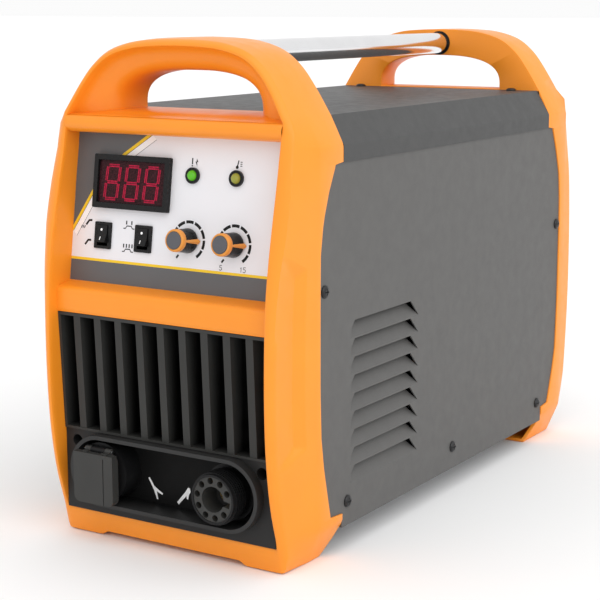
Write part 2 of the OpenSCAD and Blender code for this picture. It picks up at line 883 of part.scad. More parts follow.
module mains_knob() color("#b3261e") {
    translate([mains_at[0], 0, mains_at[1]]) {
        rod_y(15, rear_y + 3.4, rear_y + 9, [0, 0]);
        block([-4, rear_y + 3.4, -19], [4, rear_y + 17, 19]);
        rod_y(4, rear_y - 28, rear_y + 4, [0, 0]);
    }
}

module cable_gland() color("#232325") {
    translate([gland_at[0], 0, gland_at[1]]) difference() {
        union() {
            rod_y(9, rear_y - 14, rear_y + 1, [0, 0]);
            translate([0, rear_y + 5, 0]) rotate([90, 0, 0]) cylinder(d = 27, h = 4.9, $fn = 6);
            rod_y(11, rear_y + 4, rear_y + 14, [0, 0]);
            translate([0, rear_y - 2.1, 0]) rotate([90, 0, 0]) cylinder(d = 27, h = 5, $fn = 6);
        }
        rod_y(5.5, rear_y - 15, rear_y + 15, [0, 0]);
    }
}

module earth_stud() color("#c9a24a") {
    translate([earth_at[0], 0, earth_at[1]]) {
        rod_y(4, rear_y - 12, rear_y + 14, [0, 0]);
        translate([0, rear_y + 6.5, 0]) rotate([90, 0, 0]) cylinder(d = 15, h = 6.4, $fn = 6);
        translate([0, rear_y - 2.1, 0]) rotate([90, 0, 0]) cylinder(d = 15, h = 6, $fn = 6);
    }
}

valve_y = [196, 232];

module gas_inlet() color("#c9a24a") {
    translate([gas_at[0], 0, gas_at[1]]) difference() {
        union() {
            rod_y(6, valve_y[1] + 0.1, rear_y + 3, [0, 0]);
            translate([0, rear_y + 7, 0]) rotate([90, 0, 0]) cylinder(d = 19, h = 6.9, $fn = 6);
            for (i = [0 : 2])
                translate([0, rear_y + 7 + i * 3.6, 0]) rotate([-90, 0, 0])
                    cylinder(r1 = 5, r2 = 4.1, h = 3.7);
            translate([0, rear_y - 2.1, 0]) rotate([90, 0, 0]) cylinder(d = 19, h = 5, $fn = 6);
        }
        rod_y(2.5, 200, 300, [0, 0]);
    }
}

module gas_valve() color("#3a3f48") {
    translate([gas_at[0], 0, gas_at[1]]) {
        // Brass body with its flow passage, and the coil above it
        difference() {
            block([-13, valve_y[0], -12], [13, valve_y[1], 10]);
            rod_y(2.5, 190, 240, [0, 0]);
            translate([0, 214, -3]) cylinder(r = 5.05, h = 20);
        }
        difference() {
            rod_y(5, valve_y[0] - 12, valve_y[0] + 0.5, [0, 0]);
            rod_y(2.5, valve_y[0] - 13, valve_y[0] + 1, [0, 0]);
        }
        difference() {
            translate([0, 214, 9.9]) cylinder(r = 15, h = 30);
            translate([0, 214, 5]) cylinder(r = 5.05, h = 31);
        }
    }
}

module valve_plunger() color("#b5b7ba") {
    translate([gas_at[0], 214, gas_at[1] - 2.8]) cylinder(r = 5, h = 33);
}

// ---- Hose and leads inside ----

hose_route = [
    [58, 183.4, 268], [58, 176, 268], [62, 166, 266], [76, 150, 262], [92, 132, 258], [99, 112, 252],
    [101, 80, 246], [101, 20, 242], [101, -40, 238], [101, -100, 232], [100, -140, 222],
    [98, -165, 200], [94, -178, 165], [88, -186, 130], [76, -190, 96], [64, -190, 70],
    [57, -193, 58.5], [54.3, -199, 56.8], [54.3, -204.4, 56.8]];
work_route = [
    [-62, -204.4, 58], [-62, -194, 58], [-62, -182, 56], [-62, -166, 50], [-61, -148, 42],
    [-60, -128, 38], [-60, -110, 37], [-60, -95.2, 37]];
torch_route = [
    [75, -90.2, 46], [75, -104, 46], [74, -124, 46], [68, -146, 46], [58, -168, 46], [50, -186, 47],
    [46.5, -202, 49], [46.5, -217.9, 49.5]];

module gas_hose() color("#1c2f55") sweep(curve(hose_route, 2), 4);
module work_lead() color("#202020") sweep(curve(work_route, 2), 5);
module torch_lead() color("#202020") sweep(curve(torch_route, 2), 4);

// ---- Power electronics ----

shelf_z = 104;

module shelf_plate() color("#9fa1a4") {
    difference() {
        block([-96, -160, 24.3], [96, 170, shelf_z]);
        block([-94.5, -161, 20], [94.5, 171, shelf_z - 1.5]);
        for (s = [-1, 1]) for (y = [-120, -20, 80])
            block([s * 96 - 4, y, 36], [s * 96 + 4, y + 70, 90]);
    }
    for (s = [-1, 1]) block([s * 103 - 8, -160, 24.3], [s * 103 + 8, 170, 25.8]);
}

module heat_sinks() color("#b9bbbe") {
    for (s = [-1, 1]) translate([s * 46, 0, 0]) {
        block([-40, -130, shelf_z + 52], [40, 150, shelf_z + 60]);
        for (x = [-38 : 7.6 : 38])
            block([x - 1, -130, shelf_z + 0.1], [x + 1, 150, shelf_z + 52.1]);
    }
}

module power_modules() color("#1d1d1f") {
    for (s = [-1, 1]) for (y = [-95, -25, 45, 110])
        translate([s * 46, y, shelf_z + 60.1]) difference() {
            block([-17, -30, 0], [17, 30, 17]);
            for (e = [-1, 1]) translate([0, e * 26, -1]) cylinder(r = 2.6, h = 20);
        }
}

board_z = shelf_z + 84;

module main_board() color("#1f6b3a") {
    difference() {
        block([-92, -140, board_z], [92, 155, board_z + 1.8]);
        for (x = [-86, 86]) for (y = [-134, 148])
            translate([x, y, board_z - 1]) cylinder(r = 2.2, h = 4);
    }
    for (x = [-84, 84]) for (y = [-125, 10, 140])
        translate([x, y, shelf_z + 60.1]) cylinder(r = 3, h = board_z - shelf_z - 60);
}

module bus_capacitors() color("#20345c") {
    for (x = [-60, -20]) for (y = [-90, -48, -6, 36])
        translate([x, y, board_z + 1.9]) {
            cylinder(d = 35, h = 55);
            translate([0, 0, 54.9]) cylinder(d = 32, h = 1.2);
        }
}

module main_transformer() color("#4a4038") {
    translate([-34, 60, 26]) {
        difference() {
            block([-45, -32, 0], [45, 32, 70]);
            block([-33, -33, 14], [-13, 33, 56]);
            block([13, -33, 14], [33, 33, 56]);
        }
        // Windings round the middle leg
        difference() {
            block([-30, -44, 17], [30, 44, 53]);
            block([-13.1, -32.1, 10], [13.1, 32.1, 60]);
        }
    }
}

module output_inductor() color("#8a4a20") {
    translate([-60, -78, 60]) rotate([90, 0, 0]) difference() {
        cylinder(r = 33, h = 34, center = true);
        cylinder(r = 14, h = 40, center = true);
    }
}

module hf_coil() color("#b5652a") {
    translate([56, -70, 58]) rotate([90, 0, 0]) {
        difference() {
            cylinder(r = 30, h = 40, center = true);
            cylinder(r = 16, h = 50, center = true);
        }
    }
    block([30, -20, 26], [86, 60, 27.6]);
    block([36, -10, 27.6], [80, 30, 62]);
}

front_frame();
rear_frame();
top_cover();
left_side_panel();
right_side_panel();
base_plate();
rear_panel();
handle_tube();
handle_bushes();
side_screws();
cover_screws();
panel_plate();
panel_overlay();
meter_bezel();
meter_window();
meter_module();
lamp_bezels();
ready_lamp();
fault_lamp();
switch_housings();
gas_test_rocker();
mode_rocker();
current_knob();
post_gas_knob();
current_shaft();
post_gas_shaft();
potentiometers();
control_board();
front_grille();
connector_housing();
housing_screws();
work_socket();
work_contact();
work_cover();
work_hinge_pin();
torch_connector();
torch_insert();
torch_pins();
torch_nut();
fan_housing();
fan_rotor();
fan_guard();
mains_switch();
mains_knob();
cable_gland();
earth_stud();
gas_inlet();
gas_valve();
valve_plunger();
gas_hose();
shelf_plate();
heat_sinks();
power_modules();
main_board();
bus_capacitors();
main_transformer();
output_inductor();
hf_coil();
work_lead();
torch_lead();
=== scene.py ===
"""Looks of the plasma cutter power unit.

Metres, +X to the right seen from the front, +Y to the back, +Z up, with the feet on z = 0.
Shapes are worked out in millimetres in that frame and turned to metres when a mesh is made.
"""

import bisect
import math

import bmesh
import bpy
from mathutils import Matrix, Vector


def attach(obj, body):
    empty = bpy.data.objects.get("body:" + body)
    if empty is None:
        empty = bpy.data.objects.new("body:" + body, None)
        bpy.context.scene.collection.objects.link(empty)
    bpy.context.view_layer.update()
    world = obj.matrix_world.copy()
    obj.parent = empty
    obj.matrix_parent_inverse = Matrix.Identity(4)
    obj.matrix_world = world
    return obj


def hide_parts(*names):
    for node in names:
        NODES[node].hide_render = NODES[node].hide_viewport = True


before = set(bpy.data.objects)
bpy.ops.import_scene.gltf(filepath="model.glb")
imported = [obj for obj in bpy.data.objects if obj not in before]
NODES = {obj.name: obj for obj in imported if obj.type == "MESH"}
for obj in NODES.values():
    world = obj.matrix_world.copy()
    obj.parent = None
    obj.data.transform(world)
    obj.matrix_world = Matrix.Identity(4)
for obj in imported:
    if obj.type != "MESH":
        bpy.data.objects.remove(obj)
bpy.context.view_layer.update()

MM = 0.001
CASING = "casing"

# ---------------------------------------------------------------- materials


def new_material(name):
    material = bpy.data.materials.new(name)
    material.use_nodes = True
    tree = material.node_tree
    return material, tree, tree.nodes["Principled BSDF"]


def noise(tree, place, size_mm, detail=3.0, roughness=0.5):
    """A noise texture whose features are about size_mm across."""
    node = tree.nodes.new("ShaderNodeTexNoise")
    node.inputs["Scale"].default_value = 1.0 / (size_mm * MM)
    node.inputs["Detail"].default_value = detail
    node.inputs["Roughness"].default_value = roughness
    tree.links.new(place, node.inputs["Vector"])
    return node.outputs["Fac"]


def ramp(tree, value, low, high, low_colour, high_colour):
    """Colours a value: low_colour at low and under, high_colour at high and over."""
    node = tree.nodes.new("ShaderNodeValToRGB")
    first, last = node.color_ramp.elements
    first.position, last.position = low, high
    first.color = (*low_colour, 1)
    last.color = (*high_colour, 1)
    tree.links.new(value, node.inputs["Fac"])
    return node.outputs["Color"]


def spread(tree, value, low, high):
    """Maps the middle of a noise to the range from low to high."""
    node = tree.nodes.new("ShaderNodeMapRange")
    node.inputs["From Min"].default_value = 0.3
    node.inputs["From Max"].default_value = 0.7
    node.inputs["To Min"].default_value = low
    node.inputs["To Max"].default_value = high
    tree.links.new(value, node.inputs["Value"])
    return node.outputs["Result"]


def scaled(colour, factor):
    return tuple(min(1.0, c * factor) for c in colour)


def finish_material(
    name,
    colour,
    rough,
    metallic=0.0,
    grain_mm=0.35,
    grain=0.08,
    mottle=0.05,
    mottle_mm=30,
    rough_spread=0.06,
    coat=0.0,
    specular=0.5,
    brushed=None,
    emission=0.0,
):
    """A finished surface: mottled colour, uneven gloss and a fine grain.

    brushed stretches the grain along one axis, 0, 1 or 2, as drawn or rolled metal has it."""
    material, tree, shader = new_material(name)
    links = tree.links
    place = tree.nodes.new("ShaderNodeTexCoord").outputs["Object"]
    if brushed is not None:
        mapping = tree.nodes.new("ShaderNodeMapping")
        mapping.inputs["Scale"].default_value = [0.04 if i == brushed else 1.0 for i in range(3)]
        links.new(place, mapping.inputs["Vector"])
        fine_place = mapping.outputs["Vector"]
    else:
        fine_place = place
    patches = noise(tree, place, mottle_mm, 4.0)
    base = ramp(tree, patches, 0.3, 0.7, scaled(colour, 1 - mottle), scaled(colour, 1 + mottle))
    links.new(base, shader.inputs["Base Color"])
    fine = noise(tree, fine_place, grain_mm, 2.0)
    smudges = noise(tree, fine_place if brushed is not None else place, mottle_mm * 0.4, 5.0, 0.6)
    links.new(spread(tree, smudges, rough - rough_spread, rough + rough_spread), shader.inputs["Roughness"])
    bump = tree.nodes.new("ShaderNodeBump")
    bump.inputs["Strength"].default_value = grain
    bump.inputs["Distance"].default_value = 0.2 * MM
    links.new(fine, bump.inputs["Height"])
    links.new(bump.outputs["Normal"], shader.inputs["Normal"])
    shader.inputs["Metallic"].default_value = metallic
    shader.inputs["Specular IOR Level"].default_value = specular
    shader.inputs["Coat Weight"].default_value = coat
    shader.inputs["Coat Roughness"].default_value = 0.1
    if emission:
        shader.inputs["Emission Color"].default_value = (*colour, 1)
        shader.inputs["Emission Strength"].default_value = emission
    return material


ORANGE = finish_material("frame_orange", (0.90, 0.285, 0.017), 0.36, grain_mm=0.6, grain=0.10,
                         mottle=0.02, specular=0.40)
SIDE_PAINT = finish_material("side_paint", (0.098, 0.096, 0.093), 0.52, grain_mm=0.8, grain=0.30,
                             mottle=0.02, specular=0.35)
ROOF_PAINT = finish_material("roof_paint", (0.060, 0.060, 0.060), 0.50, grain_mm=0.8, grain=0.30,
                             mottle=0.02, specular=0.30)
BLACK_PAINT = finish_material("black_paint", (0.018, 0.018, 0.019), 0.50, grain_mm=0.8, grain=0.35,
                              specular=0.25)
ZINC = finish_material("zinc_sheet", (0.45, 0.46, 0.48), 0.36, metallic=1.0, mottle=0.10, mottle_mm=12,
                       brushed=1)
CHROME = finish_material("tube_metal", (0.80, 0.80, 0.81), 0.15, metallic=1.0, mottle=0.02,
                         rough_spread=0.04, grain=0.03, brushed=1)
BLACK = finish_material("black_plastic", (0.009, 0.009, 0.0095), 0.42, grain_mm=0.5, grain=0.12,
                        specular=0.20)
BLACK_GLOSS = finish_material("black_gloss", (0.008, 0.008, 0.0085), 0.28, grain_mm=0.5, grain=0.03,
                              specular=0.22)
BLACK_STEEL = finish_material("black_steel", (0.012, 0.012, 0.013), 0.30, grain=0.05, specular=0.35)
STEEL = finish_material("plain_steel", (0.50, 0.51, 0.52), 0.27, metallic=1.0, grain=0.05)
BRASS = finish_material("brass", (0.62, 0.42, 0.16), 0.25, metallic=1.0, mottle=0.08, mottle_mm=6)
RED_PLASTIC = finish_material("red_plastic", (0.42, 0.014, 0.011), 0.32, grain=0.05)
BOARD = finish_material("board_green", (0.02, 0.12, 0.045), 0.38, mottle=0.12, mottle_mm=5, coat=0.2)
HOSE = finish_material("hose_rubber", (0.012, 0.012, 0.015), 0.55, grain=0.1, specular=0.25)
BLUE_SLEEVE = finish_material("capacitor_sleeve", (0.014, 0.03, 0.10), 0.22, grain=0.02)
BARE_ALUMINIUM = finish_material("bare_aluminium", (0.50, 0.51, 0.52), 0.38, metallic=1.0, brushed=1)
FERRITE = finish_material("ferrite", (0.04, 0.037, 0.033), 0.5, mottle=0.15, mottle_mm=8)
COPPER = finish_material("copper_winding", (0.50, 0.21, 0.09), 0.3, metallic=1.0, brushed=0)


def paint_depth_shade(material, front_mm, back_mm, low=0.12):
    """Paints shade into a material: dims its colour and its specular from full at front_mm along Y to a
    part of it at back_mm and behind, as the painted shade of a recess.
    """
    tree = material.node_tree
    shader = tree.nodes["Principled BSDF"]
    split = tree.nodes.new("ShaderNodeSeparateXYZ")
    tree.links.new(tree.nodes.new("ShaderNodeTexCoord").outputs["Object"], split.inputs[0])
    depth = tree.nodes.new("ShaderNodeMapRange")
    depth.inputs["From Min"].default_value = front_mm * MM
    depth.inputs["From Max"].default_value = back_mm * MM
    depth.inputs["To Min"].default_value = 1.0
    depth.inputs["To Max"].default_value = low
    tree.links.new(split.outputs["Y"], depth.inputs["Value"])
    mix = tree.nodes.new("ShaderNodeVectorMath")
    mix.operation = "SCALE"
    tree.links.new(shader.inputs["Base Color"].links[0].from_socket, mix.inputs[0])
    tree.links.new(depth.outputs["Result"], mix.inputs["Scale"])
    tree.links.new(mix.outputs["Vector"], shader.inputs["Base Color"])
    dim = tree.nodes.new("ShaderNodeMath")
    dim.operation = "MULTIPLY"
    dim.inputs[0].default_value = shader.inputs["Specular IOR Level"].default_value
    tree.links.new(depth.outputs["Result"], dim.inputs[1])
    tree.links.new(dim.outputs["Value"], shader.inputs["Specular IOR Level"])
    return material


# Painted shade: the fins and the connector housing get darker the further back they lie in their recess
FINS = paint_depth_shade(finish_material("fin_plastic", (0.036, 0.036, 0.034), 0.46, grain_mm=0.5, grain=0.14,
                              specular=0.22), -257, -243, 0.10)
HOUSING = paint_depth_shade(finish_material("grille_plastic", (0.030, 0.030, 0.030), 0.44, grain_mm=0.5, grain=0.14,
                                 specular=0.25), -262, -242, 0.28)
COVER = finish_material("cover_plastic", (0.040, 0.040, 0.038), 0.44, grain_mm=0.5, grain=0.14,
                        specular=0.25)

# ---------------------------------------------------------------- meshes


def add_mesh(name, points, faces, material, body=CASING, sharp=32, mend=0.02):
    """A mesh given in millimetres, smooth except at edges sharper than `sharp` degrees."""
    mesh = bpy.data.meshes.new(name)
    mesh.from_pydata([[c * MM for c in p] for p in points], [], faces)
    shape = bmesh.new()
    shape.from_mesh(mesh)
    bmesh.ops.remove_doubles(shape, verts=shape.verts, dist=mend * MM)
    bmesh.ops.dissolve_degenerate(shape, edges=shape.edges, dist=0.001 * MM)
    bmesh.ops.recalc_face_normals(shape, faces=shape.faces)
    shape.to_mesh(mesh)
    shape.free()
    mesh.shade_smooth()
    mesh.set_sharp_from_angle(angle=math.radians(sharp))
    mesh.materials.append(material)
    piece = bpy.data.objects.new(name, mesh)
    bpy.context.scene.collection.objects.link(piece)
    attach(piece, body)
    return piece


def grid(rows, closed_rows=False, closed_columns=False, offset=0):
    """The points and quads of rows of points. Every row has the same number of points."""
    width = len(rows[0])
    points = [p for row in rows for p in row]
    faces = []
    for i in range(len(rows) - (0 if closed_rows else 1)):
        below, above = i * width, (i + 1) % len(rows) * width
        for k in range(width - (0 if closed_columns else 1)):
            nxt = (k + 1) % width
            faces.append([offset + n for n in (below + k, below + nxt, above + nxt, above + k)])
    return points, faces


class Patchwork:
    """Several grids and faces gathered into one mesh."""

    def __init__(self):
        self.points, self.faces = [], []

    def add(self, rows, closed_rows=False, closed_columns=False):
        points, faces = grid(rows, closed_rows, closed_columns, len(self.points))
        self.points += points
        self.faces += faces

    def cap(self, loop):
        start = len(self.points)
        self.points += loop
        self.faces.append(list(range(start, start + len(loop))))


def lerp(a, b, t):
    return [p + (q - p) * t for p, q in zip(a, b)]


def spline(points, steps):
    """A smooth curve through points, with `steps` pieces between each two."""
    out = []
    last = len(points) - 1
    for i in range(last):
        a, b, c, d = points[max(i - 1, 0)], points[i], points[i + 1], points[min(i + 2, last)]
        for k in range(steps):
            t = k / steps
            out.append([
                0.5 * (2 * q + (r - p) * t + (2 * p - 5 * q + 4 * r - s) * t * t
                       + (3 * q - p - 3 * r + s) * t**3)
                for p, q, r, s in zip(a, b, c, d)
            ])
    return out + [list(points[-1])]


def table(pairs, smooth=False):
    """A function through (input, output) pairs in rising order of input."""
    pairs = spline(pairs, 8) if smooth else pairs
    keys = [p[0] for p in pairs]

    def look_up(x):
        i = bisect.bisect_right(keys, x)
        if i == 0:
            return pairs[0][1]
        if i == len(keys):
            return pairs[-1][1]
        (x0, y0), (x1, y1) = pairs[i - 1], pairs[i]
        return y0 + (y1 - y0) * (x - x0) / (x1 - x0)

    return look_up


# ---------------------------------------------------------------- end frames

# Outline of both end frames above the slanted shoulder, right half
ARCH = [(108.8, 348), (94.5, 370), (82, 385.3), (66, 396.8), (44, 403.3), (22, 405.4), (0, 406)]
HOLE_CENTRE = 353.0
HOLE_HALF = 66.0
HOLE_RISE = 27.5
HOLE_POWER = 2.6
HOLE_LOW = 349.0
OPENING_HALF = 103.0
ARCH_FOOT = 345
# Points across the dish's flat floor, rings from its rim to the throat, and the pulls of the
# cubic curve that takes those rings back
DISH_FLOOR_STEPS, DISH_RINGS, DISH_PULL = 24, 10, (0.62, 0.22)


class EndFrame:
    """The numbers of one moulded end frame. side is -1 for the front frame and 1 for the rear one."""

    def __init__(self, side, rim, seam, crease_x, lip_x, bend, arch_crease, throat):
        self.side = side
        self.rim = table(rim, smooth=True)
        self.seam = table(seam)
        self.crease_x = table(crease_x)
        self.lip_x = table(lip_x)
        self.bend = bend
        self.arch_crease = arch_crease
        self.throat = throat
        self.face = seam[-1][1]


FRONT = EndFrame(
    side=-1,
    rim=[
        (0, -250.7), (23, -255.3), (56, -264.5), (96, -270.3), (140, -272.3), (190, -271.5),
        (218, -269.5), (244, -265.5), (276, -258.5), (312, -250), (335, -245.5), (350, -243),
        (370, -240), (406, -236),
    ],
    seam=[
        (0, -200), (21, -184), (33.2, -184), (34.0, -202), (76, -212), (102, -216), (140, -217.4),
        (210, -217.4), (245, -217), (270, -213), (292, -205), (309, -196.5), (311.9, -195.5),
        (312.7, -184), (406, -184),
    ],
    crease_x=[
        (30, 110.2), (120, 110.2), (200, 111.2), (228, 112.6), (244, 113.5), (260, 114.8), (276, 114.8),
        (292, 114.4), (308, 113.4), (318, 112.4),
    ],
    lip_x=[(30, 104.6), (238, 104.8), (290, 104.2), (318, 103.6)],
    bend=-217,
    arch_crease=4.0,
    throat=-206,
)
REAR = EndFrame(
    side=1,
    rim=[
        (0, 240), (12, 254), (40, 263), (78, 268.5), (135, 272.3), (196, 272.3), (250, 269), (292, 263),
        (340, 256), (372, 249), (406, 245),
    ],
    seam=[
        (0, 189), (21, 204.5), (35.2, 204.5), (36, 219), (68, 230), (90, 235.5), (140, 237.7),
        (205, 237.7), (240, 237), (266, 234), (289, 226), (309, 217), (311.9, 216), (312.7, 204.5),
        (406, 204.5),
    ],
    crease_x=[(30, 116.5), (60, 118), (270, 118), (318, 116)],
    lip_x=[(30, 109), (60, 111), (270, 111), (318, 108)],
    bend=246,
    arch_crease=5.0,
    throat=230,
)


def unit(x, z):
    length = math.hypot(x, z) or 1.0
    return x / length, z / length


def normals(line):
    """Outward normals of a line of (x, z) that runs anticlockwise seen from the front."""
    out = []
    for i in range(len(line)):
        a, b = line[max(i - 1, 0)], line[min(i + 1, len(line) - 1)]
        tx, tz = unit(b[0] - a[0], b[1] - a[1])
        out.append((tz, -tx))
    return out


def frame_stations(end):
    """Stations round the right half of a frame, from the middle of its bottom to the top of its arch.

    Each is (seam x, z, crease x, z, lip x, z, inner x, z, set-back of the crease)."""
    c, f = end.crease_x(30), end.lip_x(30)
    low = [
        (0, 3.5, 0, 4.3, 0, 17.3, 0, 20.8, 0.8),
        (65.5, 3.5, 65.5, 4.3, 65.5, 17.3, 65.5, 20.8, 0.8),
        (71, 0.2, 71, 1.0, 71, 17.3, 71, 20.8, 0.8),
        (72, 0, 72, 0.8, 72, 17.3, 72, 20.8, 0.8),
        (96, 0, 96, 0.8, f - 15, 17.3, 94, 20.8, 0.8),
        (106, 0, 104.5, 0.9, f - 5.5, 16.8, 99.5, 20.9, 0.9),
        (108, 0.4, 106.3, 1.4, f - 3.6, 16.8, 101.3, 21, 1.2),
        (109.6, 3.7, 108.2, 4.8, f - 1.8, 17.6, 102.4, 21.4, 2.2),
        (114, 14, min(c, 112) - 0.3, 15, f - 0.9, 20.2, 103, 22.6, 3.5),
        (118.4, 24.3, min(c, 115.8) - 0.1, 25, f - 0.3, 25.5, 103.3, 26.5, 4),
        (120, 28.5, c, 30, f, 31, f - 1, 31.5, 4),
    ]
    heights = [33, 33.6, 34.4, 35, 35.6, 36.4, 42, 50, 60, 70, 78]
    heights += [81 + 1.25 * i for i in range(21)]
    heights += [112 + 8 * i for i in range(14)]
    heights += [220 + 1.5 * i for i in range(22)]
    heights += [258, 266, 275, 284, 292, 300, 306, 309, 311.6, 312.2, 313, 318]
    sides = [
        (120, z, end.crease_x(z), z, end.lip_x(z), z, end.lip_x(z) - 1.1, z, 4 + 0.3 * abs(end.side + 1))
        for z in heights
    ]
    cx, fx = end.crease_x(318), end.lip_x(318)
    shoulder = [
        (120, 324.5, cx - 0.1, 325, fx, 325, fx - 1, 325, 4),
        (119.2, 327.6, cx - 0.3, 329, fx, 329, fx - 1, 328.5, 4),
        (114.6, 336.8, cx - 0.8, 338, fx, 338, fx - 1.2, 337, 4),
    ]
    outline = [(120, 325.7)] + [tuple(p) for p in spline(ARCH, 5)]
    arch = []
    for (x, z), (nx, nz) in list(zip(outline, normals(outline)))[1:]:
        blend = min(1.0, (z - 348) / 20)
        crease, lip, inner = 1.0 + (1 - blend) * 0.4, 4.8 + (1 - blend) * 0.6, 6.5 + (1 - blend) * 0.5
        arch.append((x, z, x - crease * nx, z - crease * nz, x - lip * nx, z - lip * nz,
                     x - inner * nx, z - inner * nz, end.arch_crease))
    return low + sides + shoulder + arch, len(arch)


# The finger scoop in the front frame's sides. Edge and bottom are places across the side,
# from 0 at the bend to 1 at the crease. Its top and low ends are heights at the scoop's edge; each
# end rises or falls by its slope towards the crease and runs out over its own height.
SCOOP_DEPTH = 3.6
SCOOP_EDGE, SCOOP_BOTTOM = 0.33, 0.52
SCOOP_TOP, SCOOP_TOP_SLOPE, SCOOP_TOP_HEIGHT = 237, 13, 10.7
SCOOP_LOW, SCOOP_LOW_SLOPE, SCOOP_LOW_HEIGHT = 97.8, 14.5, 7.1


def scoop(u, z):
    """Depth of the finger scoop in the front frame's side; u is 0 at the bend and 1 at the crease."""
    run = (u - SCOOP_EDGE) / (1 - SCOOP_EDGE)
    step = SCOOP_DEPTH * (u - SCOOP_EDGE) / (SCOOP_BOTTOM - SCOOP_EDGE)
    slope = SCOOP_DEPTH * (1 - u) / (1 - SCOOP_BOTTOM)
    top = SCOOP_DEPTH * (SCOOP_TOP + SCOOP_TOP_SLOPE * run - z) / SCOOP_TOP_HEIGHT
    bottom = SCOOP_DEPTH * (z - SCOOP_LOW + SCOOP_LOW_SLOPE * run) / SCOOP_LOW_HEIGHT
    return max(0.0, min(step, slope, top, bottom))


# Places of the points across the side, from the bend to the crease, and from the crease to the lip
BAND = [0, 0.1, 0.2, 0.3, 0.33, 0.35, 0.4, 0.45, 0.5, 0.52, 0.54, 0.6, 0.66, 0.72, 0.78, 0.84, 0.92, 1]
LIP_STEPS = [0.12, 0.3, 0.5, 0.72, 0.88, 1]
# The flange that goes in behind the seam edge, and how far back the bend starts at the least
FLANGE_DEPTH, FLANGE_REACH, LEAST_FLAT = 3.2, 10, 1.6
# Stations with their seam edge further out than this belong to the upright sides
UPRIGHT_SIDE = 119


def station_profile(end, station, normal):
    """The points of one station, from inside its seam edge round the lip to its inner edge."""
    rx, rz, cx, cz, fx, fz, ix, iz, set_back = station
    inward = (-normal[0], -normal[1])
    out = -end.side
    seam_y = end.seam(rz)
    bend_y = end.side * max(end.side * end.bend, end.side * seam_y + LEAST_FLAT)
    crease_y = end.rim(cz) + out * set_back
    points = []
    flange = [(FLANGE_DEPTH, seam_y - out * FLANGE_REACH), (FLANGE_DEPTH, seam_y)]
    round_edge = [(0.6, seam_y), (0.15, seam_y - out * 0.2), (0, seam_y - out * 0.8)]
    for depth, y in flange + round_edge:
        points.append((rx + inward[0] * depth, y, rz + inward[1] * depth))
    points.append((rx, (seam_y + bend_y) / 2, rz))
    for u in BAND:
        x, z = lerp((rx, rz), (cx, cz), u)
        if end.side < 0 and rx > UPRIGHT_SIDE:
            x -= scoop(u, rz)
        points.append((x, bend_y + (crease_y - bend_y) * u, z))
    for t in LIP_STEPS:
        x, z = lerp((cx, cz), (fx, fz), t)
        points.append((x, end.rim(z) + out * set_back * (1 - t) ** 2, z))
    x, z = lerp((fx, fz), (ix, iz), 0.6)
    points.append((x, end.rim(z) + out * 0.25, z))
    points.append((ix, end.rim(iz) + out * 1.1, iz))
    return points


def hole_point(x, z):
    """The point of the hand hole's outline on the line from the hole's centre to (x, z)."""
    dx, dz = unit(x, z - HOLE_CENTRE)
    if dz <= 0:
        level = HOLE_CENTRE + HOLE_HALF * dz / max(abs(dx), 0.01)
        return math.copysign(HOLE_HALF, dx), max(HOLE_LOW, level)
    reach = ((abs(dx) / HOLE_HALF) ** HOLE_POWER + (dz / HOLE_RISE) ** HOLE_POWER) ** (-1 / HOLE_POWER)
    return dx * reach, HOLE_CENTRE + dz * reach


def mirrored(rows):
    """The left half's rows after the right half's, so that they close round the frame."""
    return rows + [[(-x, y, z) for x, y, z in row] for row in rows[-2:0:-1]]


def build_end_frame(end, name, node, opening_low, wall_y):
    stations, arch_count = frame_stations(end)
    outline = [(s[0], s[1]) for s in stations]
    rows = [station_profile(end, s, n) for s, n in zip(stations, normals(outline))]
    # The arch is solid, so its rows start at the seam edge
    for row in rows[len(rows) - arch_count:]:
        row[0] = row[1] = row[2]
    shell = Patchwork()
    shell.add(mirrored(rows), closed_rows=True)

    # Walls that go back from the lip, up to the ledge under the hand hole
    below = rows[: len(rows) - arch_count + 1]
    walls = []
    for row in below:
        x, y, z = row[-1]
        back = (min(x, OPENING_HALF), wall_y, max(z, opening_low))
        walls.append([(x, y, z), (back[0], y - end.side * 3, back[2]), back])
    shell.add([[(-x, y, z) for x, y, z in row] for row in walls[::-1]] + walls[1:])

    # The dish round the hand hole, its throat, and the frame's flat inner face
    arch = rows[len(rows) - arch_count:]
    rim_loop = [row[-1] for row in arch] + [(-row[-1][0], *row[-1][1:]) for row in arch[-2::-1]]
    seam_loop = [row[2] for row in arch] + [(-row[2][0], *row[2][1:]) for row in arch[-2::-1]]
    hole_loop = [hole_point(x, z) for x, y, z in rim_loop]
    side_x, side_y, side_z = rim_loop[-1]
    for i in range(1, DISH_FLOOR_STEPS):
        t = -1 + 2 * i / DISH_FLOOR_STEPS
        rim_loop.append((-side_x * t, side_y, side_z))
        hole_loop.append((HOLE_HALF * t, HOLE_LOW))
        seam_loop.append((-side_x * t, end.face, ARCH_FOOT))
    rings = []
    for k in range(DISH_RINGS + 1):
        t = k / DISH_RINGS
        u = t * t * (3 - 2 * t)
        ring = []
        for (x, y, z), (hx, hz) in zip(rim_loop, hole_loop):
            dive = 3 * (1 - t) ** 2 * t * DISH_PULL[0] + 3 * (1 - t) * t * t * DISH_PULL[1] + t**3
            ring.append((x + (hx - x) * u, y + (end.throat - y) * dive, z + (hz - z) * u))
        rings.append(ring)
    edge = end.face + end.side * 1.5
    rings.append([(hx, edge, hz) for hx, hz in hole_loop])
    rings.append([(hx * 1.006, edge - end.side * 1.0, hz + (hz - 366) * 0.015) for hx, hz in hole_loop])
    rings.append([(hx * 1.022, end.face, hz + (hz - 366) * 0.05) for hx, hz in hole_loop])
    rings.append(seam_loop)
    shell.add(rings, closed_columns=True)
    piece = add_mesh(name, shell.points, shell.faces, ORANGE, sharp=38)
    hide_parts(node)


def build_bar(name, profile, half):
    """A bar along X, from -half to half, with a profile of (y, z)."""
    bar = Patchwork()
    bar.add([[(x, y, z) for y, z in profile] for x in (-half, half)])
    piece = add_mesh(name, bar.points, bar.faces, ORANGE, sharp=50)


